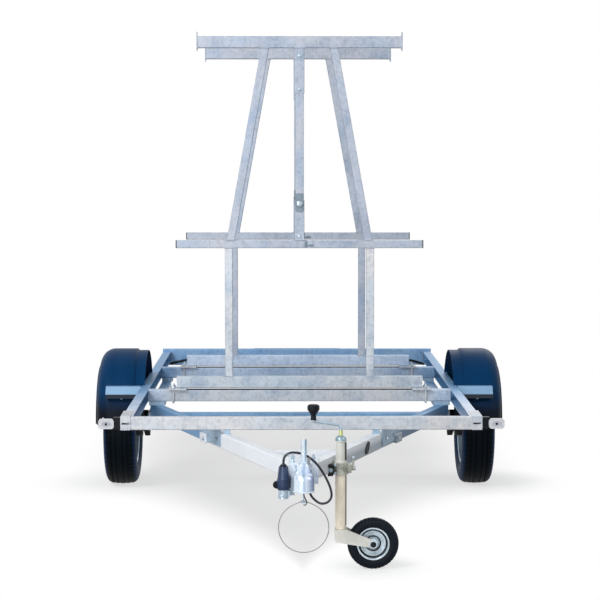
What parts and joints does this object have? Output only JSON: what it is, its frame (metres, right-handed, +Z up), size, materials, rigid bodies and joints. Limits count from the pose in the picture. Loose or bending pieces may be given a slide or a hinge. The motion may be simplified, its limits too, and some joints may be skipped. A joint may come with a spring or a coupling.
{
  "type": "boat trailer",
  "caption": "Galvanised small-boat trailer with V drawbar, tow ball coupling, jockey wheel, mudguards and two upright rack frames for stacked hulls.",
  "frame": {"origin": "on the ground, under the centre of the trailer's bounding box", "axes": "+Z up, +Y to the rear of the trailer, +X to the viewer's right when the coupling faces the viewer"},
  "size_m": [2.142, 4.168, 2.395],
  "materials": {
    "galvanised": "hot-dip galvanised, mottled spangle",
    "zinc": "bright zinc plated",
    "yellow_zinc": "pale yellow passivated zinc",
    "black_paint": "satin black",
    "wheel_silver": "silver lacquer",
    "tyre_rubber": "matt tread",
    "black_rubber": "matt solid rubber",
    "guard_plastic": "smooth dark blue-black moulding",
    "black_plastic": "fine moulded grain",
    "plug_plastic": "dark blue moulding",
    "cable_sheath": "semi-matt sheath",
    "wire": "stranded steel wire",
    "white_lens": "clear ribbed lens over white",
    "red_lens": "ribbed red lens"
  },
  "bodies": {
    "frame": {"front_crossbar": "galvanised", "rear_crossbar": "galvanised", "side_rail_left": "galvanised", "side_rail_right": "galvanised", "corner_brackets": "galvanised", "front_cross_member": "galvanised", "rear_cross_member": "galvanised", "drawbar_left": "galvanised", "drawbar_right": "galvanised", "drawbar_brackets": "galvanised", "drawbar_cross_tie": "galvanised", "axle_beam": "galvanised", "axle_brackets": "galvanised", "mudguard_stays": "galvanised", "front_base_beam": "galvanised", "front_uprights": "galvanised", "front_mid_bar": "galvanised", "front_legs": "galvanised", "front_top_bar": "galvanised", "front_centre_post": "galvanised", "rear_base_beam": "galvanised", "rear_uprights": "galvanised", "rear_mid_bar": "galvanised", "rear_legs": "galvanised", "rear_top_bar": "galvanised", "rear_centre_post": "galvanised", "rack_feet": "galvanised", "coupling_body": "zinc", "coupling_lever": "zinc", "plug_holder": "zinc", "loop_clip": "zinc", "jockey_clamp": "zinc", "suspension_arms": "black_paint", "mudguard_left": "guard_plastic", "mudguard_right": "guard_plastic", "bar_end_caps": "black_plastic", "front_lamp_holders": "black_plastic", "plate_holder": "black_plastic", "cable_gland": "black_plastic", "plug": "plug_plastic", "cable": "cable_sheath", "safety_loop": "wire", "front_lamps": "white_lens", "rear_lamps": "red_lens"},
    "wheel_left": {"rim_left": "wheel_silver", "tyre_left": "tyre_rubber"},
    "wheel_right": {"rim_right": "wheel_silver", "tyre_right": "tyre_rubber"},
    "jockey_outer": {"jockey_tube": "yellow_zinc", "jockey_crank": "zinc", "crank_knob": "black_plastic"},
    "jockey_inner": {"jockey_leg": "yellow_zinc"},
    "jockey_caster": {"jockey_fork": "yellow_zinc"},
    "jockey_wheel": {"jockey_rim": "wheel_silver", "jockey_tyre": "black_rubber"}
  },
  "joints": [
    {"name": "wheel_left_spin", "type": "hinge", "parent": "frame", "child": "wheel_left", "pos_m": [-0.949, 0.529, 0.302], "axis": [1, 0, 0], "continuous": true},
    {"name": "wheel_right_spin", "type": "hinge", "parent": "frame", "child": "wheel_right", "pos_m": [0.949, 0.529, 0.302], "axis": [1, 0, 0], "continuous": true},
    {"name": "jockey_clamp_slide", "type": "slide", "parent": "frame", "child": "jockey_outer", "axis": [0, 0, 1], "range_m": [0, 0.18]},
    {"name": "jockey_screw_slide", "type": "slide", "parent": "jockey_outer", "child": "jockey_inner", "axis": [0, 0, -1], "range_m": [0, 0.18]},
    {"name": "jockey_swivel", "type": "hinge", "parent": "jockey_inner", "child": "jockey_caster", "pos_m": [0.16192, -1.641, 0.174], "axis": [0, 0, 1], "continuous": true},
    {"name": "jockey_wheel_spin", "type": "hinge", "parent": "jockey_caster", "child": "jockey_wheel", "pos_m": [0.29992, -1.641, 0.11], "axis": [0, 1, 0], "continuous": true}
  ]
}
